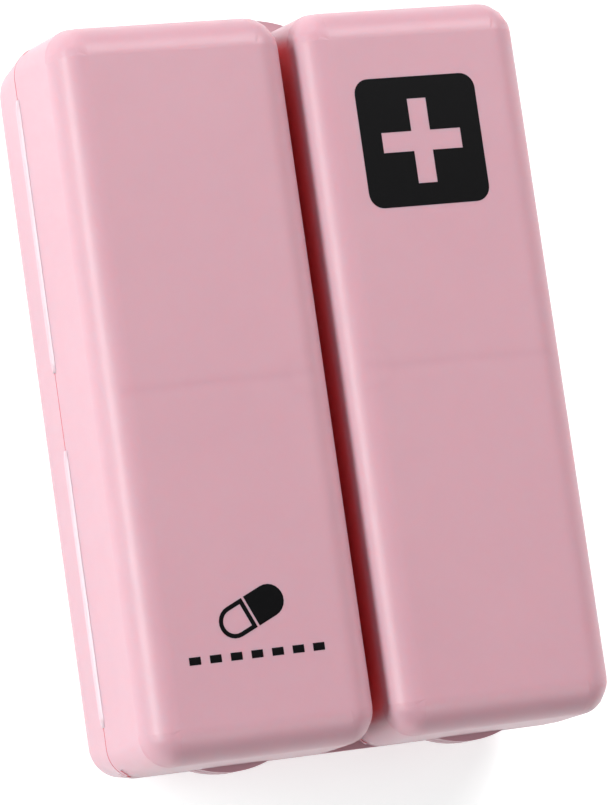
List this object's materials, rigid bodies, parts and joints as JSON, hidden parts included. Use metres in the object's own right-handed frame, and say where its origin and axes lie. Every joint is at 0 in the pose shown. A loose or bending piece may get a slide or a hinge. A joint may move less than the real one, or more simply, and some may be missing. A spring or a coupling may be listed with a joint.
{
  "type": "folding pill case with pill splitter",
  "caption": "Pill case that folds like shutters: a back tray, two wing trays on living hinges, sliding lids, and an inner blade over a vee seat that splits a tablet as a wing closes.",
  "frame": {"origin": "centre of the flat back face of the folded case", "axes": "+X across the case, +Y along it towards the upper end, +Z from the back face towards the wings"},
  "size_m": [0.0728, 0.1068, 0.034],
  "materials": {
    "case_shell": "satin moulded polypropylene, powder pink",
    "hinge_film": "thin flexible polypropylene film, powder pink",
    "lid": "frosted translucent polypropylene",
    "blade_steel": "ground stainless steel strip with a polished bevel",
    "holder": "satin white moulded plastic",
    "screw_steel": "zinc-plated steel",
    "seat_rubber": "soft grey silicone rubber",
    "magnet": "nickel-plated magnet"
  },
  "bodies": {
    "back_case": {"back_tray": "case_shell", "pill_seat": "seat_rubber", "back_left_magnet": "magnet", "back_right_magnet": "magnet", "left_hinge_upper": "hinge_film", "left_hinge_lower": "hinge_film", "right_hinge_upper": "hinge_film", "right_hinge_lower": "hinge_film"},
    "left_wing": {"left_wing_tray": "case_shell", "left_wing_magnet": "magnet"},
    "right_wing": {"right_wing_tray": "case_shell", "right_wing_magnet": "magnet", "blade": "blade_steel", "blade_holder": "holder", "blade_holder_screws": "screw_steel"},
    "back_upper_lid": {"back_upper_lid": "lid"},
    "back_lower_lid": {"back_lower_lid": "lid"},
    "left_upper_lid": {"left_upper_lid": "lid"},
    "left_lower_lid": {"left_lower_lid": "lid"},
    "right_upper_lid": {"right_upper_lid": "lid"},
    "right_lower_lid": {"right_lower_lid": "lid"}
  },
  "joints": [
    {"name": "left_wing_fold", "type": "hinge", "parent": "back_case", "child": "left_wing", "pos_m": [-0.03615, 0, 0.017], "axis": [0, -1, 0], "range_deg": [0, 180], "deforming": ["left_hinge_upper", "left_hinge_lower"]},
    {"name": "right_wing_fold", "type": "hinge", "parent": "back_case", "child": "right_wing", "pos_m": [0.03615, 0, 0.017], "axis": [0, 1, 0], "range_deg": [0, 180], "deforming": ["right_hinge_upper", "right_hinge_lower"]},
    {"name": "back_upper_lid_slide", "type": "slide", "parent": "back_case", "child": "back_upper_lid", "axis": [0, 1, 0], "range_m": [0, 0.035]},
    {"name": "back_lower_lid_slide", "type": "slide", "parent": "back_case", "child": "back_lower_lid", "axis": [0, -1, 0], "range_m": [0, 0.035]},
    {"name": "left_upper_lid_slide", "type": "slide", "parent": "left_wing", "child": "left_upper_lid", "axis": [0, 1, 0], "range_m": [0, 0.044]},
    {"name": "left_lower_lid_slide", "type": "slide", "parent": "left_wing", "child": "left_lower_lid", "axis": [0, -1, 0], "range_m": [0, 0.044]},
    {"name": "right_upper_lid_slide", "type": "slide", "parent": "right_wing", "child": "right_upper_lid", "axis": [0, 1, 0], "range_m": [0, 0.044]},
    {"name": "right_lower_lid_slide", "type": "slide", "parent": "right_wing", "child": "right_lower_lid", "axis": [0, -1, 0], "range_m": [0, 0.044]}
  ]
}
